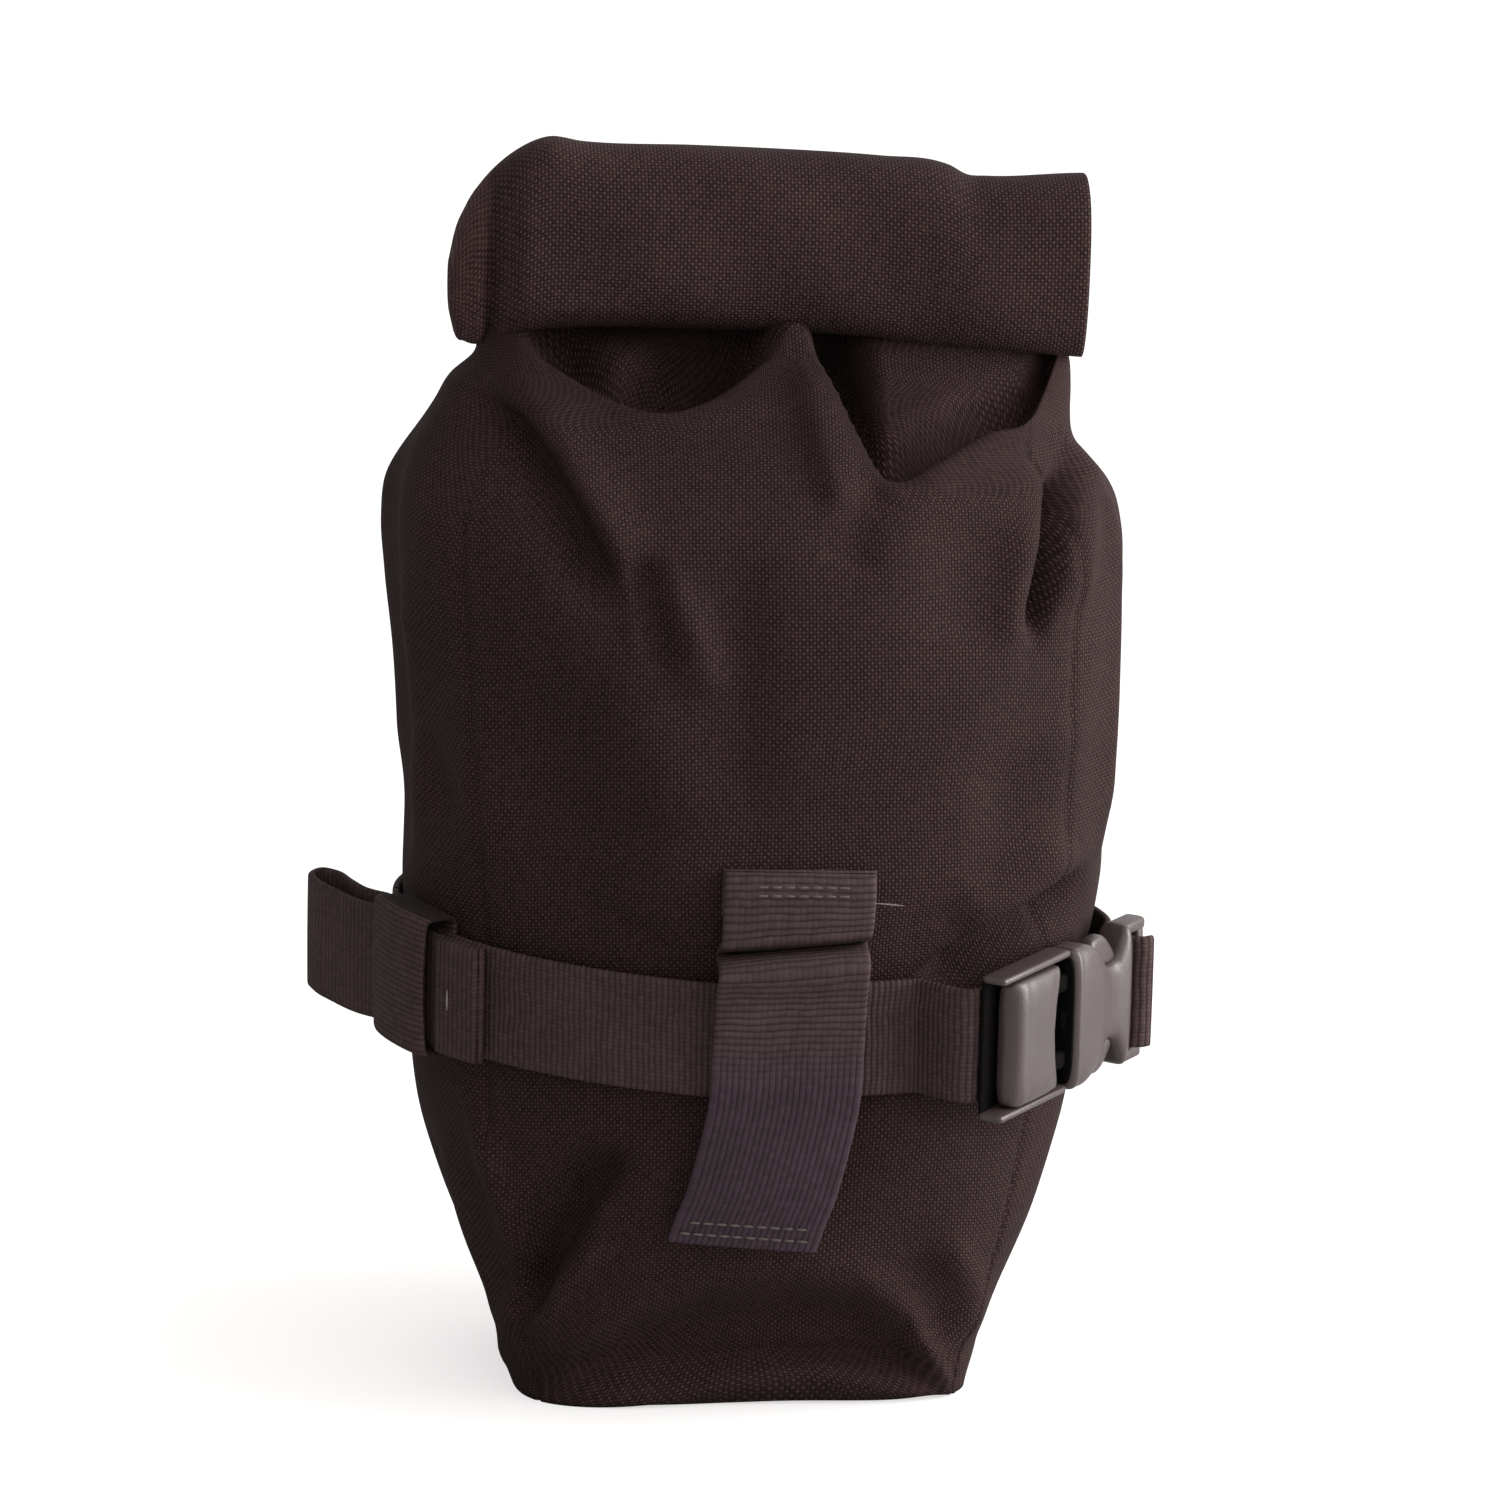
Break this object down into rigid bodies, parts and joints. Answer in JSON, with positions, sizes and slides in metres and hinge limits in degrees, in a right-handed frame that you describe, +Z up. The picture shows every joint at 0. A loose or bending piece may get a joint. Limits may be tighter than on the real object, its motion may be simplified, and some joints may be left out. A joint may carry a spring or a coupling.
{
  "type": "saddle bag",
  "caption": "Small upright roll-top saddle bag in coarse woven fabric, with a webbing strap, side-release buckle, keeper and front loop.",
  "frame": {"origin": "centre of the base's underside, on the surface it stands on", "axes": "+X right along the roll, +Y to the back, +Z up from the base to the roll; the front loop faces -Y"},
  "size_m": [0.147, 0.0975, 0.2151],
  "materials": {
    "outer_fabric": "matte coarse weave",
    "webbing": "ribbed matte webbing",
    "lining": "thin plain weave",
    "hook_and_loop_tape": "napped",
    "stiffener_board": "matte",
    "buckle_plastic": "satin moulded"
  },
  "bodies": {
    "bag": {"front_panel": "outer_fabric", "rear_panel": "outer_fabric", "gusset_left": "outer_fabric", "gusset_right": "outer_fabric", "base_panel": "outer_fabric", "liner": "lining", "base_stiffener": "stiffener_board", "back_stiffener": "stiffener_board", "front_loop": "webbing", "rear_loop_left": "webbing", "rear_loop_right": "webbing", "strap_front": "webbing", "strap_rear": "webbing", "strap_tail": "webbing", "strap_buckle_run": "webbing", "buckle_female": "buckle_plastic"},
    "roll_carrier": {"collar": "outer_fabric"},
    "roll": {"roll_top": "outer_fabric", "mouth_stiffener": "stiffener_board", "hook_tape": "hook_and_loop_tape", "loop_tape": "hook_and_loop_tape"},
    "buckle_plug": {"buckle_male": "buckle_plastic", "strap_male_fold": "webbing"},
    "prong_up": {"prong_upper": "buckle_plastic"},
    "prong_low": {"prong_lower": "buckle_plastic"},
    "keeper": {"strap_keeper": "webbing"}
  },
  "joints": [
    {"name": "roll_rise", "type": "slide", "parent": "bag", "child": "roll_carrier", "axis": [0, 0, 1], "range_m": [0, 0.04], "deforming": ["collar"]},
    {"name": "roll_turn", "type": "hinge", "parent": "roll_carrier", "child": "roll", "pos_m": [0, -0.004, 0.2], "axis": [-1, 0, 0], "range_deg": [0, 180]},
    {"name": "buckle_release", "type": "slide", "parent": "bag", "child": "buckle_plug", "axis": [-0.6018, -0.7986, 0], "range_m": [0, 0.018], "deforming": ["strap_buckle_run", "prong_upper", "prong_lower"]},
    {"name": "prong_upper_flex", "type": "hinge", "parent": "buckle_plug", "child": "prong_up", "pos_m": [0.05061, -0.03279, 0.0784], "axis": [-0.7986, 0.6018, 0], "range_deg": [0, 8], "stiffness_Nm_per_rad": 0.02},
    {"name": "prong_lower_flex", "type": "hinge", "parent": "buckle_plug", "child": "prong_low", "pos_m": [0.05061, -0.03279, 0.0646], "axis": [0.7986, -0.6018, 0], "range_deg": [0, 8], "stiffness_Nm_per_rad": 0.02},
    {"name": "keeper_shift", "type": "hinge", "parent": "bag", "child": "keeper", "pos_m": [-0.02384, -0.00144, 0.0715], "axis": [0, 0, 1], "range_deg": [-2, 10]}
  ],
  "couplings": [
    {"joint": "roll_turn", "follows": "roll_rise", "rad_per_m": 78.5},
    {"joint": "prong_lower_flex", "follows": "prong_upper_flex", "ratio": 1}
  ]
}
